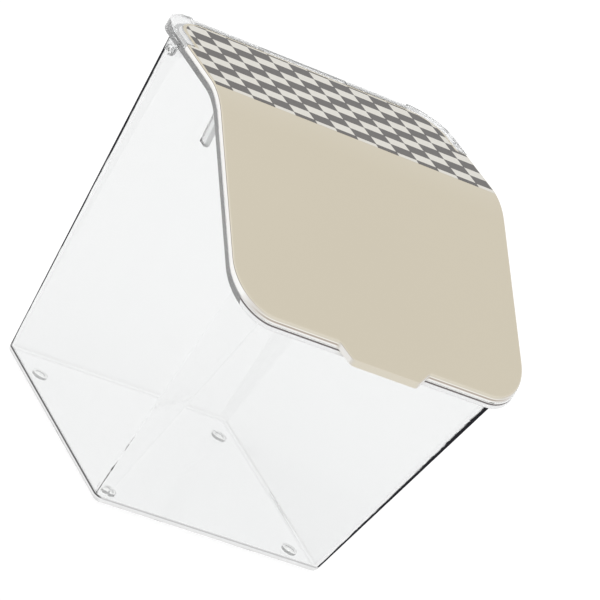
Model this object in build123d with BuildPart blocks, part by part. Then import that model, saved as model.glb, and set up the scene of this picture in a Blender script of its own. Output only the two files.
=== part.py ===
import os
from math import cos, radians, sin, tan

from build123d import *

# Lid outline and side profile
lid_width = 160.0
lid_depth = 178.7
lid_top = 179.0
bend_setback = 80.2
bend_radius = 45.0
slope_angle = 27.7
rear_corner_radius = 19.0
front_corner_radius = 21.7

# Lid panel, the opaque plate with the finger tab
panel_thickness = 2.7
panel_side_inset = 0.4
panel_rear_side_inset = 5.2
panel_rear_setback = 7.1
panel_rear_radius = 16.0
panel_step_setback = 37.0
panel_step_radius = 1.2
panel_edge_round = 0.8
tab_root_width = 49.0
tab_tip_width = 36.0
tab_reach = 6.6
tab_tip_radius = 4.0
tab_root_radius = 3.0

# Check film, let into the rear of the panel and over the start of its bend
film_thickness = 0.2
film_margin = 1.0
film_rear_margin = 1.8
film_front_setback = 73.4
film_gap = 0.1

# Lid shell, the clear tray under the panel
shell_thickness = 2.4
collar_gap = 0.25
seat_gap = 0.3

# Rear hinge barrel and its rod
barrel_radius = 3.1
barrel_half_length = 62.0
knuckle_half_width = 23.7
knuckle_gap = 0.3
rod_radius = 1.25
rod_half_length = 61.0
rod_fit = 0.02
rod_running_fit = 0.08
rod_end_gap = 0.5
wall_to_barrel = 0.4
bracket_depth = 9.0
bracket_heel = 1.5

# Stop heels under the side knuckles
open_angle = 105.0
heel_x = 40.0
heel_width = 8.0
heel_drop = 1.9
heel_depth = 1.0
heel_gap = 0.3

# Side ears of the shell and the studs that they close over
ear_setback = 28.0
ear_radius = 3.9
ear_drop = 7.2
ear_inset = 1.2
ear_proud = 1.0
stud_radius = 1.6
stud_drop = 8.0
stud_clearance = 0.45
stud_end_inset = 0.4

# Container walls and floor
wall = 2.0
floor_thickness = 3.0
base_width = 123.8
base_depth = 128.5
base_rear_setback = 9.2
base_radius = 3.8
rim_width = 156.6
rim_radius = 16.7
front_lean = 16.3
bottom_round = 2.4
hollow_round = 1.0

# Ribs inside the side walls
rib_setback = 83.5
rib_width = 5.0
rib_length = 19.0
rib_reach = 2.6
rib_end_radius = 1.2

# Feet under the floor
foot_radius = 3.6
foot_height = 1.5
foot_seat = 0.6
foot_seat_gap = 0.1
foot_round = 0.5
foot_side_inset = 11.7
foot_front_inset = 13.0
foot_rear_inset = 20.6

# Angles, drops below the lid's top face, and setbacks from its rear edge
slope = radians(slope_angle)
swing = radians(open_angle)
shell_drop = panel_thickness + shell_thickness
rim_drop = shell_drop + seat_gap
rim_z = lid_top - rim_drop
rim_rear_setback = 2 * barrel_radius + wall_to_barrel
floor_z = foot_height + floor_thickness
stud_z = lid_top - stud_drop

# The stop heel as it stands in the open lid, measured from the hinge axis
heel_reach = barrel_radius + wall_to_barrel - heel_gap
heel_bottom = heel_drop + heel_depth
heel_back_reach = heel_bottom * sin(swing) - heel_reach * cos(swing)
heel_proud = max(0.0, heel_back_reach - barrel_radius)

# The origin is under the middle of the overall depth
tab_plan_reach = tab_reach * cos(slope)
overall_depth = heel_proud + lid_depth + tab_plan_reach
lid_rear_y = overall_depth / 2 - heel_proud
lid_front_y = lid_rear_y - lid_depth
axis_y = lid_rear_y - barrel_radius
axis_z = lid_top - barrel_radius
arc_y = lid_rear_y - bend_setback + bend_radius * tan(slope / 2)
base_rear_y = lid_rear_y - base_rear_setback
base_front_y = base_rear_y - base_depth
rim_rear_y = lid_rear_y - rim_rear_setback
rim_front_y = base_front_y - (rim_z - foot_height) * tan(radians(front_lean))
side_lean = (rim_width - base_width) / 2 / (rim_z - foot_height)
ear_y = lid_rear_y - ear_setback

# Room that a cutting body keeps past the object
beyond = 60.0


def arc_end(drop):
    """End of the bend, where the slope starts, a drop below the top face."""
    radius = bend_radius - drop
    return (arc_y - radius * sin(slope), lid_top - bend_radius + radius * cos(slope))


def slope_end(drop):
    """The sloped face's profile carried past the front of the lid."""
    y, z = arc_end(drop)
    front = lid_front_y - beyond
    return (front, z - (y - front) * tan(slope))


def lid_band(upper_drop, lower_drop):
    """Side section of the lid between two drops below its top face."""
    centre = (arc_y, lid_top - bend_radius)
    rear = lid_rear_y + beyond
    with BuildSketch(Plane.YZ) as section:
        with BuildLine():
            Line((rear, lid_top - upper_drop), (arc_y, lid_top - upper_drop))
            CenterArc(centre, bend_radius - upper_drop, 90, slope_angle)
            Polyline(arc_end(upper_drop), slope_end(upper_drop), slope_end(lower_drop), arc_end(lower_drop))
            CenterArc(centre, bend_radius - lower_drop, 90, slope_angle)
            Polyline(
                (arc_y, lid_top - lower_drop),
                (rear, lid_top - lower_drop),
                (rear, lid_top - upper_drop),
            )
        make_face()
    return section.sketch


def lid_plan(inset):
    """Plan of the lid's rounded outline, drawn in all round from the widest one."""
    half = lid_width / 2 - inset
    rear = lid_rear_y - inset
    front = lid_front_y + inset
    rear_corner = rear_corner_radius - inset
    front_corner = front_corner_radius - inset
    with BuildSketch() as plan:
        with BuildLine():
            FilletPolyline(
                (half, rear),
                (half, front),
                (-half, front),
                (-half, rear),
                radius=[rear_corner, front_corner, front_corner, rear_corner],
                close=True,
            )
        make_face()
    return plan.sketch


def panel_plan(inset, rear_inset):
    """Plan of the panel, its wide part and its narrow rear end each drawn in by an amount."""
    half = lid_width / 2 - panel_side_inset - inset
    front = lid_front_y + panel_side_inset + inset
    step = lid_rear_y - panel_step_setback - inset
    rear_half = lid_width / 2 - panel_rear_side_inset - rear_inset
    rear = lid_rear_y - panel_rear_setback - rear_inset
    front_corner = front_corner_radius - panel_side_inset - inset
    rear_corner = panel_rear_radius - rear_inset
    half_radii = [rear_corner, panel_step_radius, panel_step_radius, front_corner]
    with BuildSketch() as plan:
        with BuildLine():
            FilletPolyline(
                (rear_half, rear),
                (rear_half, step),
                (half, step),
                (half, front),
                (-half, front),
                (-half, step),
                (-rear_half, step),
                (-rear_half, rear),
                radius=half_radii + half_radii[::-1],
                close=True,
            )
        make_face()
    return plan.sketch


def plan_strip(half_width, rear_setback, front_setback):
    """A rectangle across the lid between two setbacks from its rear edge."""
    with BuildSketch() as strip:
        with Locations((0, lid_rear_y - (rear_setback + front_setback) / 2)):
            Rectangle(2 * half_width, front_setback - rear_setback)
    return strip.sketch


def film_body(gap, upper_drop):
    """The film's solid, grown by a gap round its edge and starting at a drop below the top face."""
    with BuildPart() as body:
        with BuildSketch():
            add(panel_plan(film_margin - gap, film_rear_margin - gap))
            add(plan_strip(lid_width, 0, film_front_setback + gap), mode=Mode.INTERSECT)
        extrude(amount=lid_top + beyond)
        extrude(lid_band(upper_drop, film_thickness), amount=lid_width, both=True, mode=Mode.INTERSECT)
    return body.part


def wall_sections(inset, bottom_z):
    """Level sections of the tapered container at a height and at the rim."""
    share = (bottom_z - foot_height) / (rim_z - foot_height)
    sections = []
    for part_way, height in ((share, bottom_z), (1.0, rim_z)):
        width = base_width + part_way * (rim_width - base_width) - 2 * inset
        rear = base_rear_y + part_way * (rim_rear_y - base_rear_y) - inset
        front = base_front_y + part_way * (rim_front_y - base_front_y) + inset
        corner = base_radius + part_way * (rim_radius - base_radius) - inset
        with BuildSketch(Plane.XY.offset(height)) as level:
            with Locations((0, (rear + front) / 2)):
                RectangleRounded(width, rear - front, corner)
        sections.append(level.sketch)
    return sections


def side_half_width(height):
    """Half the outer width of the container at a height."""
    return base_width / 2 + (height - foot_height) * side_lean


def disc_on_side(x, y, z, radius):
    """A circle that faces along X, at its place on the side of the object."""
    with BuildSketch(Plane.YZ.offset(x)) as disc:
        with Locations((y, z)):
            Circle(radius)
    return disc.sketch


def rib_profile(side):
    """Front view of the rib inside one side wall, leaning as the wall does."""
    top = rim_z
    bottom = rim_z - rib_length
    inner = wall + rib_reach
    outer = wall / 2
    with BuildSketch(Plane.XZ.offset(rib_setback - lid_rear_y)) as profile:
        with BuildLine():
            FilletPolyline(
                (side * (side_half_width(top) - outer), top),
                (side * (side_half_width(top) - inner), top),
                (side * (side_half_width(bottom) - inner), bottom),
                (side * (side_half_width(bottom) - outer), bottom),
                radius=rib_end_radius,
            )
            Line(
                (side * (side_half_width(bottom) - outer), bottom),
                (side * (side_half_width(top) - outer), top),
            )
        make_face()
    return profile.sketch


def heel_profile(start_x):
    """Side view of a stop heel in the closed lid, turned back from its place in the open one."""
    corners = []
    for forward, up in (
        (0, -heel_bottom),
        (heel_reach, -heel_bottom),
        (heel_reach, -heel_drop),
        (0, -heel_drop),
    ):
        closed_forward = forward * cos(swing) + up * sin(swing)
        closed_up = up * cos(swing) - forward * sin(swing)
        corners.append((axis_y - closed_forward, axis_z + closed_up))
    with BuildSketch(Plane.YZ.offset(start_x)) as profile:
        with BuildLine():
            Polyline(*corners, close=True)
        make_face()
    return profile.sketch


# Foot places on the floor
foot_x = base_width / 2 - foot_side_inset
foot_front_y = base_front_y + foot_front_inset
foot_rear_y = base_rear_y - foot_rear_inset
foot_places = {
    "foot_front_left": (-foot_x, foot_front_y),
    "foot_front_right": (foot_x, foot_front_y),
    "foot_rear_left": (-foot_x, foot_rear_y),
    "foot_rear_right": (foot_x, foot_rear_y),
}

# Hollow of the container
with BuildPart() as hollow:
    loft(wall_sections(wall, floor_z), ruled=True)
    fillet(hollow.faces().sort_by(Axis.Z)[0].edges(), hollow_round)

# Container
with BuildPart() as container:
    loft(wall_sections(0, foot_height), ruled=True)
    fillet(container.faces().sort_by(Axis.Z)[0].edges(), bottom_round)

    # Round studs on the outside of the side walls, as one bar before the hollow is cut
    stud_end_x = lid_width / 2 + ear_proud - stud_end_inset
    extrude(disc_on_side(0, ear_y, stud_z, stud_radius), amount=stud_end_x, both=True)
    add(hollow.part, mode=Mode.SUBTRACT)
    for side in (-1, 1):
        extrude(rib_profile(side), amount=rib_width / 2, both=True)
    extrude(lid_band(-beyond, rim_drop), amount=lid_width, both=True, mode=Mode.SUBTRACT)

    # Bracket and middle knuckle on the outside of the rear wall
    bracket_root_y = rim_rear_y - wall / 2
    with BuildSketch(Plane.YZ) as bracket:
        with BuildLine():
            Polyline(
                (lid_rear_y, axis_z),
                (lid_rear_y - 2 * barrel_radius, axis_z),
                (lid_rear_y - 2 * barrel_radius, rim_z),
                (bracket_root_y, rim_z),
                (bracket_root_y, rim_z - bracket_depth),
                (lid_rear_y, axis_z - bracket_heel),
                close=True,
            )
        make_face()
    extrude(amount=knuckle_half_width, both=True)
    extrude(disc_on_side(0, axis_y, axis_z, barrel_radius), amount=knuckle_half_width, both=True)
    extrude(
        disc_on_side(0, axis_y, axis_z, rod_radius + rod_fit),
        amount=knuckle_half_width,
        both=True,
        mode=Mode.SUBTRACT,
    )

    # Shallow seats for the feet
    for place in foot_places.values():
        with BuildSketch(Plane.XY.offset(foot_height)):
            with Locations(place):
                Circle(foot_radius + foot_seat_gap)
        extrude(amount=foot_seat, mode=Mode.SUBTRACT)
container.part.label = "container"

# Feet
feet = []
for name, place in foot_places.items():
    with BuildPart() as foot:
        with BuildSketch():
            with Locations(place):
                Circle(foot_radius)
        extrude(amount=foot_height + foot_seat)
        fillet(foot.edges().group_by(Axis.Z)[0], foot_round)
    foot.part.label = name
    feet.append(foot.part)

# Hinge rod
with BuildPart() as hinge_rod:
    extrude(disc_on_side(0, axis_y, axis_z, rod_radius), amount=rod_half_length, both=True)
hinge_rod.part.label = "hinge_rod"

# Plate of the lid shell
with BuildPart() as shell_plate:
    extrude(lid_plan(0), amount=lid_top + beyond)
    extrude(lid_band(panel_thickness, shell_drop), amount=lid_width, both=True, mode=Mode.INTERSECT)

# Raised collar behind the panel and along its narrow rear end
with BuildPart() as shell_collar:
    with BuildSketch(Plane.XY.offset(lid_top - panel_thickness)) as collar_plan:
        add(lid_plan(0))
        add(plan_strip(lid_width, 0, panel_step_setback - collar_gap), mode=Mode.INTERSECT)
        add(panel_plan(-collar_gap, -collar_gap), mode=Mode.SUBTRACT)
    extrude(amount=panel_thickness)

# Lid shell
with BuildPart() as lid_shell:
    add(shell_plate.part)
    add(shell_collar.part)

    # Room for the barrel behind, and for the middle knuckle of the container
    knuckle_start = knuckle_half_width + knuckle_gap
    with BuildSketch() as rear_room:
        add(plan_strip(barrel_half_length, 0, barrel_radius))
        add(plan_strip(knuckle_start, 0, panel_rear_setback))
    extrude(amount=lid_top + beyond, mode=Mode.SUBTRACT)

    # Side knuckles
    for side in (-1, 1):
        extrude(
            disc_on_side(side * knuckle_start, axis_y, axis_z, barrel_radius),
            amount=side * (barrel_half_length - knuckle_start),
        )

    # Ears, each with a neck up to the plate
    ear_inner_x = lid_width / 2 - ear_inset
    for side in (-1, 1):
        with BuildSketch(Plane.YZ.offset(side * ear_inner_x)) as ear:
            with Locations((ear_y, lid_top - ear_drop)):
                Circle(ear_radius)
            with Locations((ear_y, lid_top - (panel_thickness + ear_drop) / 2)):
                Rectangle(2 * ear_radius, ear_drop - panel_thickness)
        extrude(amount=side * (ear_inset + ear_proud))

    # Slot through both ears, open along the path that the stud takes out of them
    slot_half = stud_radius + stud_clearance
    slot_length = 2 * ear_radius
    slot_shift = slot_length * (stud_drop - barrel_radius) / (ear_setback - barrel_radius)
    with BuildSketch(Plane.YZ) as slot:
        with Locations((ear_y, stud_z)):
            Circle(slot_half)
        with BuildLine():
            Polyline(
                (ear_y - slot_half, stud_z),
                (ear_y + slot_half, stud_z),
                (ear_y + slot_half + slot_shift, stud_z - slot_length),
                (ear_y - slot_half + slot_shift, stud_z - slot_length),
                close=True,
            )
        make_face()
    extrude(amount=lid_width, both=True, mode=Mode.SUBTRACT)

    # Stop heels
    for centre_x in (-heel_x, heel_x):
        extrude(heel_profile(centre_x - heel_width / 2), amount=heel_width)

    # Bore for the rod, blind at one end and open at the other
    bore_start_x = -rod_half_length - rod_end_gap
    extrude(
        disc_on_side(bore_start_x, axis_y, axis_z, rod_radius + rod_running_fit),
        amount=lid_width,
        mode=Mode.SUBTRACT,
    )
lid_shell.part.label = "lid_shell"

# Lid panel
with BuildPart() as lid_panel:
    with BuildSketch() as panel_outline:
        add(panel_plan(0, 0))
        panel_front_y = lid_front_y + panel_side_inset
        tab_front_y = lid_front_y - tab_plan_reach
        with BuildLine():
            Polyline(
                (-tab_root_width / 2, panel_front_y),
                (-tab_tip_width / 2, tab_front_y),
                (tab_tip_width / 2, tab_front_y),
                (tab_root_width / 2, panel_front_y),
                close=True,
            )
        make_face()
        tab_tips = panel_outline.vertices().group_by(Axis.Y)[0]
        fillet(tab_tips, tab_tip_radius)
        tab_roots = [
            corner
            for corner in panel_outline.vertices()
            if abs(corner.Y - panel_front_y) < film_gap and abs(abs(corner.X) - tab_root_width / 2) < film_gap
        ]
        fillet(tab_roots, tab_root_radius)
    extrude(amount=lid_top + beyond)
    extrude(lid_band(0, panel_thickness), amount=lid_width, both=True, mode=Mode.INTERSECT)
    upper_edges = lid_panel.faces().filter_by(Axis.Z).sort_by(Axis.Z)[-1].edges()
    fillet(upper_edges.filter_by(Plane.XY), panel_edge_round)
    add(film_body(film_gap, -film_gap), mode=Mode.SUBTRACT)
lid_panel.part.label = "lid_panel"

# Check film
with BuildPart() as check_film:
    add(film_body(0, 0))
check_film.part.label = "check_film"

os.makedirs("parts", exist_ok=True)
for piece in (container.part, *feet, hinge_rod.part, lid_shell.part, lid_panel.part, check_film.part):
    export_step(piece, f"parts/{piece.label}.step")
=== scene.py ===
from math import cos, radians, tan

import bmesh
import bpy
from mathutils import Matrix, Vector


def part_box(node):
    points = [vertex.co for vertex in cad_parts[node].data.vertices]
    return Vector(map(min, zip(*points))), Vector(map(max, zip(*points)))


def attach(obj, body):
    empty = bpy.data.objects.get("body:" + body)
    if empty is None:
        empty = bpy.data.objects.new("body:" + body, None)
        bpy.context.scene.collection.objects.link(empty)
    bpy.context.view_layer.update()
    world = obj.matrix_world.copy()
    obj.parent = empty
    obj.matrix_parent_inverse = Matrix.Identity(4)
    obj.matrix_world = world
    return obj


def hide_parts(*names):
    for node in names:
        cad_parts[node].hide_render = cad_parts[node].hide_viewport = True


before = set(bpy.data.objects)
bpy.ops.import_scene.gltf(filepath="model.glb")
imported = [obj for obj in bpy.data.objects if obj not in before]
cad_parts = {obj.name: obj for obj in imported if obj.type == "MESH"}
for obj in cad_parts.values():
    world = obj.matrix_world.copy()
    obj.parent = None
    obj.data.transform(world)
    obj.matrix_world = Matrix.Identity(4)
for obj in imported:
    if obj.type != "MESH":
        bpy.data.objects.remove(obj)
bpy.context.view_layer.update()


# The room. A pale, faintly glowing table top under an even, soft sky that turns grey
# towards the horizon, as in a shot on a light table.
class Wire:
    """A number, colour, vector or shader on a node tree's wires. Sums on numbers add Math nodes."""

    def __init__(self, tree, socket=None):
        self.tree = tree
        self.socket = socket

    def node(self, kind, settings=(), inputs=(), output=0):
        """Add a node: its settings first, then the values or links of its inputs."""
        made = self.tree.nodes.new(kind)
        for name, value in dict(settings).items():
            if name == "stops":
                ramp = made.color_ramp
                while len(ramp.elements) < len(value):
                    ramp.elements.new(0.5)
                for element, (position, colour) in zip(ramp.elements, value):
                    element.position = position
                    element.color = (*colour, 1.0)
            else:
                setattr(made, name, value)
        for name, value in dict(inputs).items():
            if isinstance(value, Wire):
                self.tree.links.new(value.socket, made.inputs[name])
            elif isinstance(value, tuple) and len(made.inputs[name].default_value) > len(value):
                made.inputs[name].default_value = (*value, 1.0)
            else:
                made.inputs[name].default_value = value
        return Wire(self.tree, made.outputs[output] if made.outputs else None)

    def maths(self, operation, first, second=0.0):
        return self.node("ShaderNodeMath", {"operation": operation}, {0: first, 1: second})

    def __add__(self, other):
        return self.maths("ADD", self, other)

    __radd__ = __add__

    def __sub__(self, other):
        return self.maths("SUBTRACT", self, other)

    def __rsub__(self, other):
        return self.maths("SUBTRACT", other, self)

    def __mul__(self, other):
        return self.maths("MULTIPLY", self, other)

    __rmul__ = __mul__

    def __truediv__(self, other):
        return self.maths("DIVIDE", self, other)

    def __mod__(self, other):
        return self.maths("FLOORED_MODULO", self, other)

    def floor(self):
        return self.maths("FLOOR", self)

    def size(self):
        return self.maths("ABSOLUTE", self)

    def clamped(self):
        return self.node("ShaderNodeClamp", inputs={"Value": self})

    def part(self, axis):
        """The X, Y or Z part of this vector."""
        return self.node("ShaderNodeSeparateXYZ", inputs={"Vector": self}, output=axis)

    def speckle(self, scale, detail):
        """Noise over the places on this wire."""
        return self.node(
            "ShaderNodeTexNoise", inputs={"Vector": self, "Scale": scale, "Detail": detail}, output="Fac"
        )

    def ramp(self, stops):
        """Colours along this number."""
        return self.node("ShaderNodeValToRGB", {"stops": stops}, {"Fac": self})

    def blend(self, first, second, blend_type="MIX"):
        """Two colours mixed, with this number as the second one's share."""
        settings = {"data_type": "RGBA", "blend_type": blend_type}
        return self.node("ShaderNodeMix", settings, {0: self, 6: first, 7: second}, output=2)


def blank_material(name):
    """A new material with no nodes, the start of its wires, and the place on the piece."""
    material = bpy.data.materials.new(name)
    material.use_nodes = True
    material.node_tree.nodes.clear()
    wires = Wire(material.node_tree)
    return material, wires, wires.node("ShaderNodeTexCoord", output="Object")


def grey(light):
    return (light, light, light)


world = bpy.data.worlds.new("soft_sky")
bpy.context.scene.world = world
world.use_nodes = True
world.node_tree.nodes.clear()
sky = Wire(world.node_tree)
direction = sky.node("ShaderNodeTexCoord", output="Generated")
sky_colour = direction.part("Z").ramp(
    [(0.0, (0.72, 0.72, 0.73)), (0.10, (0.76, 0.76, 0.77)), (0.45, grey(1.0))]
)
sky_light = sky.node("ShaderNodeBackground", inputs={"Color": sky_colour, "Strength": 1.02})
backdrop = sky.node("ShaderNodeBackground", inputs={"Color": grey(0.96), "Strength": 1.0})
seen = sky.node("ShaderNodeLightPath", output="Is Camera Ray")
room_light = sky.node("ShaderNodeMixShader", inputs={0: seen, 1: sky_light, 2: backdrop})
sky.node("ShaderNodeOutputWorld", inputs={"Surface": room_light})

table_half = 6.0
table_z = -0.0001
table_corners = [
    (-table_half, -table_half, table_z),
    (table_half, -table_half, table_z),
    (table_half, table_half, table_z),
    (-table_half, table_half, table_z),
]
table_mesh = bpy.data.meshes.new("table_top")
table_mesh.from_pydata(table_corners, [], [(0, 1, 2, 3)])
table = bpy.data.objects.new("table_top", table_mesh)
bpy.context.scene.collection.objects.link(table)
table_material, wires, place = blank_material("pale_table")
table_surface = wires.node(
    "ShaderNodeBsdfPrincipled",
    inputs={
        "Base Color": grey(0.14),
        "Roughness": 0.7 + 0.1 * place.speckle(40.0, 3.0),
        "Specular IOR Level": 0.15,
        "Emission Color": grey(1.0),
        "Emission Strength": 0.92,
    },
)
wires.node("ShaderNodeOutputMaterial", inputs={"Surface": table_surface})
table_mesh.materials.append(table_material)

soft_box = bpy.data.lights.new("soft_box", "AREA")
soft_box.shape = "RECTANGLE"
soft_box.size = 1.2
soft_box.size_y = 0.8
soft_box.energy = 2.0
soft_box_holder = bpy.data.objects.new("soft_box", soft_box)
soft_box_holder.location = (-0.7, -0.3, 1.4)
soft_box_holder.rotation_euler = (radians(12), radians(-27), 0)
bpy.context.scene.collection.objects.link(soft_box_holder)

camera_data = bpy.data.cameras.new("camera")
camera_data.sensor_width = 36.0
camera_data.lens = 264.78
camera = bpy.data.objects.new("camera", camera_data)
camera.location = (-1.05635, -1.53625, 0.70628)
camera.rotation_euler = (radians(69.2193), radians(-30.2890), radians(-23.8292))
bpy.context.scene.collection.objects.link(camera)
bpy.context.scene.camera = camera
bpy.context.scene.view_settings.view_transform = "Standard"


# The container. One injection moulding in clear, colourless plastic, with polished
# faces, a slow ripple from the mould and small rounds on its edges.
plastic_ior = 1.49
coated_ior = 1.3


def clear_plastic(name, rim_stops, haze, clearness=1.0, painted_glow=0.0, painted_outline_from=None):
    """Clear plastic whose tint is darker where it is seen edge-on, painted shade for the dark rims of its
    walls, with a faint haze.

    If an edge-on value for the outline is given, its turned corners go dark from there on: a painted dark
    outline standing in for the shade along the outline of a thick wall. An emission strength above nought
    makes the plastic shine faintly: painted light."""
    material, wires, place = blank_material(name)
    grazing = wires.node("ShaderNodeLayerWeight", inputs={"Blend": 0.5}, output="Facing")
    # Painted shade: the tint darkens where the plastic is seen edge-on, for the dark rims of its walls.
    edge_on_painted_shade = grazing.ramp([(edge_on, (0.995 * clear, clear, clear)) for edge_on, clear in rim_stops])
    ripple = wires.node(
        "ShaderNodeBump",
        inputs={"Strength": 0.25, "Distance": 0.0006, "Height": place.speckle(22.0, 1.0)},
        output="Normal",
    )
    surface = wires.node(
        "ShaderNodeBsdfPrincipled",
        inputs={
            "Base Color": edge_on_painted_shade,
            "Roughness": haze * (0.6 + 0.8 * place.speckle(420.0, 4.0)),
            "IOR": plastic_ior,
            "Transmission Weight": clearness,
            # Painted light: the plastic gives off faint light when an emission strength is given.
            "Emission Color": grey(1.0),
            "Emission Strength": painted_glow,
            "Normal": ripple,
        },
    )
    # Painted dark outline: a near-black coat on the turned corners seen edge-on, standing in for the shade
    # along a thick wall's outline.
    if painted_outline_from:
        outline = wires.node(
            "ShaderNodeBsdfPrincipled",
            inputs={"Base Color": (0.02, 0.02, 0.024), "Roughness": 0.6, "Specular IOR Level": 0.0},
        )
        look = wires.node("ShaderNodeTexCoord", output="Normal")
        corner_turn = wires.maths("MINIMUM", look.part("X").size(), look.part("Y").size())
        share = ((grazing - painted_outline_from) / 0.08).clamped() * ((corner_turn - 0.13) / 0.06).clamped()
        surface = wires.node("ShaderNodeMixShader", inputs={0: share, 1: surface, 2: outline})
    wires.node("ShaderNodeOutputMaterial", inputs={"Surface": surface})
    return material


def moulded_copy(node, name, edge_round, *materials, round_material=-1, cut_height=None):
    """A CAD node's mesh as one skin, a hair inside the solid, with rounds on its sharp edges.

    The faces are parted at cut_height, if given, so that they can differ above and below it."""
    same_place = 2e-6
    hair = 0.00001
    sharp = radians(32)
    skin = bmesh.new()
    skin.from_mesh(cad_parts[node].data)
    bmesh.ops.remove_doubles(skin, verts=skin.verts, dist=same_place)
    bmesh.ops.dissolve_limit(skin, angle_limit=radians(0.4), verts=skin.verts, edges=skin.edges)
    for vert in skin.verts:
        vert.co -= hair * vert.normal
    if cut_height:
        everything = [*skin.verts, *skin.edges, *skin.faces]
        bmesh.ops.bisect_plane(skin, geom=everything, plane_co=(0, 0, cut_height), plane_no=(0, 0, 1))
    mesh = bpy.data.meshes.new(name)
    skin.to_mesh(mesh)
    skin.free()
    mesh.materials.clear()
    for material in materials:
        mesh.materials.append(material)
    mesh.shade_smooth()
    mesh.set_sharp_from_angle(angle=sharp)
    piece = bpy.data.objects.new(name, mesh)
    bpy.context.scene.collection.objects.link(piece)
    rounds = piece.modifiers.new("edge_rounds", "BEVEL")
    rounds.width = edge_round
    rounds.segments = 2
    rounds.limit_method = "ANGLE"
    rounds.angle_limit = sharp
    rounds.material = round_material
    flat_faces = piece.modifiers.new("flat_faces", "WEIGHTED_NORMAL")
    flat_faces.keep_sharp = True
    return piece


# The walls' tint darkens edge-on: painted shade for their rims. The corners add a painted dark outline.
wall_tints_painted_rims = [(0.0, 0.91), (0.80, 0.91), (0.97, 0.45)]
container_plastic = clear_plastic("container_plastic", wall_tints_painted_rims, 0.03)
container_corners = clear_plastic("container_corners", wall_tints_painted_rims, 0.03, clearness=0.95, painted_outline_from=0.5)
# The floor faces give off faint light: painted light that brightens the floor.
container_floor = clear_plastic("container_floor", [(0.0, 0.95), (1.0, 0.95)], 0.03, painted_glow=0.03)
container_milky = clear_plastic("container_hinge", wall_tints_painted_rims, 0.035, clearness=0.7)

# The edge of the floor slab: painted light in its depth, with one dark line along its top, painted shade,
# standing in for the light and shade seen in the thick clear slab. The line is strong on the left and right
# and faint in front and behind.
base_low = 0.0015
base_high = 0.0051
floor_top = 0.0047
container_base, wires, place = blank_material("container_base")
slab_painted_lines = ((place.part("Z") - base_low) / (base_high - base_low)).ramp(
    [
        (0.0, grey(0.66)),
        (0.40, grey(0.74)),
        (0.68, grey(0.92)),
        (0.76, grey(0.06)),
        (0.92, grey(0.06)),
        (1.0, grey(0.70)),
    ]
)
look = wires.node("ShaderNodeTexCoord", output="Normal")
on_side = ((look.part("X").size() - 0.35) / 0.25).clamped()
slab_outside = wires.node(
    "ShaderNodeBsdfPrincipled",
    inputs={
        "Base Color": (0.4 + 0.6 * on_side).blend(grey(0.93), slab_painted_lines),
        "Roughness": 0.08 + 0.1 * place.speckle(300.0, 3.0),
        "IOR": coated_ior,
        "Transmission Weight": 0.1,
    },
)
slab_inside = wires.node(
    "ShaderNodeBsdfPrincipled",
    inputs={"Base Color": grey(0.91), "Roughness": 0.03, "IOR": plastic_ior, "Transmission Weight": 1.0},
)
from_inside = wires.node("ShaderNodeNewGeometry", output="Backfacing")
slab_surface = wires.node("ShaderNodeMixShader", inputs={0: from_inside, 1: slab_outside, 2: slab_inside})
wires.node("ShaderNodeOutputMaterial", inputs={"Surface": slab_surface})

container_round = 0.0003
container = moulded_copy(
    "container",
    "clear_container",
    container_round,
    container_plastic,
    container_corners,
    container_base,
    container_floor,
    container_milky,
    cut_height=base_high,
)
bracket_low = 0.160
bracket_half = 0.025
rib_y = 0.0059
rib_half = 0.006
rib_from_x = 0.06
rib_face_area = 0.0002
for face in container.data.polygons:
    x, y, z = face.center
    turn_x, turn_y, turn_z = face.normal
    if min(abs(turn_x), abs(turn_y)) > 0.02 and abs(turn_z) < 0.6 and x * turn_x > 0:
        face.material_index = 1
    if z < base_high and abs(turn_z) < 0.8 and x * turn_x + y * turn_y > 0:
        face.material_index = 2
    if z < floor_top and abs(turn_z) > 0.95:
        face.material_index = 3
    on_bracket = z > bracket_low and abs(x) < bracket_half
    on_rib = abs(y - rib_y) < rib_half and abs(x) > rib_from_x and face.area < rib_face_area
    if on_bracket or on_rib:
        face.material_index = 4
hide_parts("container")
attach(container, "root")


# The feet. Four small soft discs with a raised ring, pressed into shallow seats
# under the floor.
foot_radius = 0.0036
foot_height = 0.0021
foot_ring = 0.0011
ring_round = 0.0004
foot_sides = 48
foot_material, wires, place = blank_material("foot_rubber")
look = wires.node("ShaderNodeTexCoord", output="Normal")
upwards = look.part("Z")
dust = place.speckle(900.0, 3.0)
dusty = wires.node(
    "ShaderNodeBump", inputs={"Strength": 0.2, "Distance": 0.0001, "Height": dust}, output="Normal"
)
# Painted shade and light: near black where the faces turn sideways, white where they face up. The feet also
# give off light in these colours, painted light.
foot_painted_light_and_shade = (upwards * upwards).ramp([(0.0, grey(0.10)), (0.12, grey(0.10)), (0.3, (0.97, 0.97, 0.96))])
rubber = wires.node(
    "ShaderNodeBsdfPrincipled",
    inputs={
        "Base Color": foot_painted_light_and_shade,
        "Roughness": 0.35 + 0.15 * dust,
        "Transmission Weight": 0.35,
        "IOR": coated_ior,
        "Emission Color": foot_painted_light_and_shade,
        "Emission Strength": 0.45,
        "Normal": dusty,
    },
)
wires.node("ShaderNodeOutputMaterial", inputs={"Surface": rubber})

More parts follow.
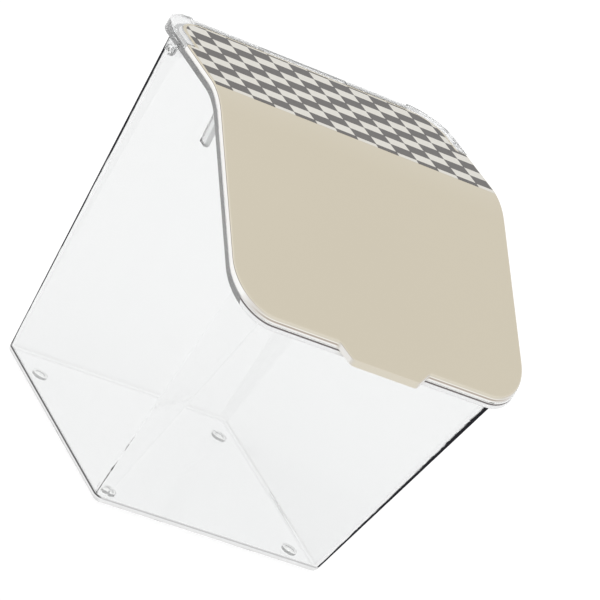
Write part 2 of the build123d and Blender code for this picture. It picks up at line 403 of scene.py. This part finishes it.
front_left_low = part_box("foot_front_left")[0]
rear_right_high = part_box("foot_rear_right")[1]
feet_sizes = {
    "Radius": foot_radius,
    "Height": foot_height,
    "Ring": foot_ring,
    "Across": rear_right_high.x - front_left_low.x - 2 * foot_radius,
    "Along": rear_right_high.y - front_left_low.y - 2 * foot_radius,
    "Centre Y": (rear_right_high.y + front_left_low.y) / 2,
}
feet_tree = bpy.data.node_groups.new("four_feet", "GeometryNodeTree")
for size_name in feet_sizes:
    feet_tree.interface.new_socket(size_name, in_out="INPUT", socket_type="NodeSocketFloat")
feet_tree.interface.new_socket("Material", in_out="INPUT", socket_type="NodeSocketMaterial")
feet_tree.interface.new_socket("Geometry", in_out="OUTPUT", socket_type="NodeSocketGeometry")
given_node = feet_tree.nodes.new("NodeGroupInput")
given = {name: Wire(feet_tree, given_node.outputs[name]) for name in (*feet_sizes, "Material")}
steps = Wire(feet_tree)
ring_path = steps.node(
    "GeometryNodeCurvePrimitiveCircle",
    inputs={"Resolution": foot_sides, "Radius": given["Radius"] - 0.5 * given["Ring"]},
    output="Curve",
)
ring_section = steps.node(
    "GeometryNodeCurvePrimitiveQuadrilateral", inputs={"Width": given["Ring"], "Height": given["Height"]}
)
ring_section = steps.node(
    "GeometryNodeFilletCurve", {"mode": "POLY"}, {"Curve": ring_section, "Count": 4, "Radius": ring_round}
)
ring = steps.node(
    "GeometryNodeCurveToMesh",
    inputs={"Curve": ring_path, "Profile Curve": ring_section, "Fill Caps": False},
)
web = steps.node(
    "GeometryNodeMeshCylinder",
    inputs={
        "Vertices": foot_sides,
        "Radius": given["Radius"] - 0.6 * given["Ring"],
        "Depth": 0.5 * given["Height"],
    },
    output="Mesh",
)
foot_parts = feet_tree.nodes.new("GeometryNodeJoinGeometry")
feet_tree.links.new(ring.socket, foot_parts.inputs[0])
feet_tree.links.new(web.socket, foot_parts.inputs[0])
foot_shape = Wire(feet_tree, foot_parts.outputs[0])
spots = steps.node(
    "GeometryNodeMeshGrid",
    inputs={"Size X": given["Across"], "Size Y": given["Along"], "Vertices X": 2, "Vertices Y": 2},
    output="Mesh",
)
spots_place = steps.node(
    "ShaderNodeCombineXYZ", inputs={"Y": given["Centre Y"], "Z": 0.5 * given["Height"]}
)
spots = steps.node("GeometryNodeTransform", inputs={"Geometry": spots, "Translation": spots_place})
feet_shapes = steps.node("GeometryNodeInstanceOnPoints", inputs={"Points": spots, "Instance": foot_shape})
feet_shapes = steps.node("GeometryNodeRealizeInstances", inputs={"Geometry": feet_shapes})
feet_shapes = steps.node(
    "GeometryNodeSetMaterial", inputs={"Geometry": feet_shapes, "Material": given["Material"]}
)
steps.node("NodeGroupOutput", inputs={"Geometry": feet_shapes})

feet_maker = bpy.data.objects.new("feet_maker", bpy.data.meshes.new("feet_maker"))
bpy.context.scene.collection.objects.link(feet_maker)
feet_modifier = feet_maker.modifiers.new("four_feet", "NODES")
feet_modifier.node_group = feet_tree
for item in feet_tree.interface.items_tree:
    if item.in_out == "INPUT":
        feet_modifier[item.identifier] = feet_sizes.get(item.name, foot_material)
made_feet = feet_maker.evaluated_get(bpy.context.evaluated_depsgraph_get())
feet_mesh = bpy.data.meshes.new_from_object(made_feet)
bpy.data.objects.remove(feet_maker)
feet_mesh.name = "feet"
feet_mesh.shade_smooth()
feet_mesh.set_sharp_from_angle(angle=radians(40))
feet = bpy.data.objects.new("feet", feet_mesh)
bpy.context.scene.collection.objects.link(feet)
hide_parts("foot_front_left", "foot_front_right", "foot_rear_left", "foot_rear_right")
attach(feet, "root")


# The hinge rod. A plain drawn rod of milky plastic that stays in the container's
# middle knuckle.
rod_material, wires, place = blank_material("rod_plastic")
rod_surface = wires.node(
    "ShaderNodeBsdfPrincipled",
    inputs={
        "Base Color": (0.80, 0.80, 0.78),
        "Roughness": 0.25 + 0.1 * place.speckle(260.0, 2.0),
        "Transmission Weight": 0.7,
    },
)
wires.node("ShaderNodeOutputMaterial", inputs={"Surface": rod_surface})
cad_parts["hinge_rod"].data.materials.clear()
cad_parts["hinge_rod"].data.materials.append(rod_material)


# The lid shell. A second clear moulding under the panel, with the raised collar,
# the ears, the stop heels and the two side knuckles.
slope_turn = radians(27.7)
slope_top_y = 0.001986
slope_top_z = 0.173843
panel_thickness = 0.0027
shell_thickness = 0.0024
# Both go darker edge-on, painted shade along the shell's rims; the rounds on its edges are tinted dark
# throughout, painted shade for the thin dark lines along them.
lid_plastic = clear_plastic("lid_plastic", [(0.0, 0.965), (0.75, 0.95), (0.96, 0.50)], 0.035, clearness=0.82)
lid_edges = clear_plastic("lid_edges", [(0.0, 0.45), (0.5, 0.30), (0.9, 0.15)], 0.035)


def depth_under_slope(place):
    """How far a point lies under the lid's sloping top face."""
    drop = (slope_top_z - place.part("Z")) - (slope_top_y - place.part("Y")) * tan(slope_turn)
    return drop * cos(slope_turn)


# The shell's front face, with painted lines: a dark line, painted shade, where the clear edge shows dark
# just under the panel, and light bands, painted light, above and below it. The face also gives off faint
# light in these colours: painted light.
lid_front, wires, place = blank_material("lid_front")
shell_front_painted_lines = ((depth_under_slope(place) - panel_thickness) / shell_thickness).ramp(
    [
        (0.0, (0.92, 0.91, 0.88)),
        (0.05, (0.92, 0.91, 0.88)),
        (0.13, (0.15, 0.13, 0.13)),
        (0.30, (0.15, 0.13, 0.13)),
        (0.42, grey(0.97)),
        (0.90, grey(0.97)),
        (1.0, grey(0.62)),
    ]
)
front_surface = wires.node(
    "ShaderNodeBsdfPrincipled",
    inputs={
        "Base Color": shell_front_painted_lines,
        "Roughness": 0.08 + 0.1 * place.speckle(300.0, 3.0),
        "IOR": coated_ior,
        "Transmission Weight": 0.3,
        # Painted light: the face gives off the colours of its painted lines.
        "Emission Color": shell_front_painted_lines,
        "Emission Strength": 0.12,
    },
)
wires.node("ShaderNodeOutputMaterial", inputs={"Surface": front_surface})

lid_shell_round = 0.0002
front_from_y = -0.07
lid_shell = moulded_copy(
    "lid_shell", "clear_lid_shell", lid_shell_round, lid_plastic, lid_edges, lid_front, round_material=1
)
for face in lid_shell.data.polygons:
    if face.normal.y < -0.65 and abs(face.normal.z) < 0.6 and face.center.y < front_from_y:
        face.material_index = 2
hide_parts("lid_shell")
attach(lid_shell, "lid")


# The lid panel. An opaque beige moulding with a satin face and a soft round along
# its edge, laid on the shell.
panel_half = 0.0796
panel_front = -0.0863
panel_corner = 0.0213
panel_round = 0.0005
tab_half = 0.0235
light_edge = 0.0024
front_line_start = 0.0008
panel_material, wires, place = blank_material("panel_plastic")
spark = place.speckle(2600.0, 2.0)
panel_colour = place.speckle(9.0, 2.0).blend((0.568, 0.514, 0.400), (0.588, 0.533, 0.416))

# Painted highlight: the edge and its round get a lighter tone than the face. The upright sides carry painted
# lines: on the front a light, a brown and a light line, painted highlight and shade; on the sides a dark
# brown line low on the round, painted shade of the gap to the shell, with the flat side below it painted
# light.
look = wires.node("ShaderNodeTexCoord", output="Normal")
sideways = look.part("X")
upwards = look.part("Z")
to_side = (1.6 * (sideways * sideways)).clamped()
turned = 1.0 - upwards * upwards
upright = (10.0 * (turned - 0.76)).clamped()
from_middle = place.part("X").size()
past_x = wires.maths("MAXIMUM", from_middle - (panel_half - panel_corner), 0.0)
past_y = wires.maths("MAXIMUM", (panel_front + panel_corner) - place.part("Y"), 0.0)
to_edge = panel_corner - wires.maths("SQRT", past_x * past_x + past_y * past_y)
beside_tab = ((from_middle - tab_half) / 0.002).clamped()
near_edge = (1.0 - to_edge / light_edge).clamped() * beside_tab
front_depth = depth_under_slope(place) - front_line_start
on_front = (front_depth / 0.0002).clamped() * upright * (1.0 - to_side) * beside_tab
panel_front_painted_lines = (front_depth / (panel_thickness - front_line_start)).ramp(
    [
        (0.0, (0.86, 0.84, 0.78)),
        (0.20, (0.86, 0.84, 0.78)),
        (0.34, (0.42, 0.35, 0.29)),
        (0.54, (0.42, 0.35, 0.29)),
        (0.70, (0.92, 0.91, 0.88)),
        (1.0, (0.92, 0.91, 0.88)),
    ]
)
# In order: painted highlight on the edge, painted lines on the front, a painted shade line and a painted
# light side.
for share, tone in (
    ((0.7 * near_edge + 4.0 * (turned - 0.30)).clamped(), (0.67, 0.62, 0.51)),
    (on_front, panel_front_painted_lines),
    (upright * to_side, (0.20, 0.155, 0.12)),
    ((25.0 * (turned - 0.95)).clamped() * to_side, (0.93, 0.92, 0.90)),
):
    panel_colour = share.blend(panel_colour, tone)
satin = wires.node(
    "ShaderNodeBump", inputs={"Strength": 0.12, "Distance": 0.00005, "Height": spark}, output="Normal"
)
panel_surface = wires.node(
    "ShaderNodeBsdfPrincipled",
    inputs={"Base Color": panel_colour, "Roughness": 0.36 + 0.12 * spark, "Normal": satin},
)
wires.node("ShaderNodeOutputMaterial", inputs={"Surface": panel_surface})
lid_panel = moulded_copy("lid_panel", "beige_lid_panel", panel_round, panel_material)
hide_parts("lid_panel")
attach(lid_panel, "lid")


# The check film. A thin printed film let into the panel, with oblong checks in
# warm grey on off-white. The grey ink spreads a little past its checks.
check_width = 0.01154
check_depth = 0.00754
check_x = -0.04646
check_y = 0.05172
ink_spread = 0.0002
film_material, wires, place = blank_material("printed_film")
check_count = 0.0
clear_of_ink = 1.0
for axis, start, length in (("X", check_x, check_width), ("Y", check_y, check_depth)):
    checks_along = (place.part(axis) - start) / length
    off_middle = (checks_along - checks_along.floor() - 0.5).size()
    check_count = check_count + checks_along.floor()
    clear_of_ink = clear_of_ink * wires.maths("LESS_THAN", off_middle, 0.5 - ink_spread / length)
light_check = (check_count % 2.0) * clear_of_ink
mottle = place.speckle(700.0, 3.0)
check_colour = light_check.blend((0.092, 0.085, 0.080), (0.690, 0.668, 0.612))
film_surface = wires.node(
    "ShaderNodeBsdfPrincipled",
    inputs={
        "Base Color": (0.12 * mottle).blend(check_colour, (0.8, 0.79, 0.77), "MULTIPLY"),
        "Roughness": 0.38 + 0.1 * mottle,
        "Specular IOR Level": 0.35,
    },
)
wires.node("ShaderNodeOutputMaterial", inputs={"Surface": film_surface})
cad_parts["check_film"].data.materials.clear()
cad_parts["check_film"].data.materials.append(film_material)
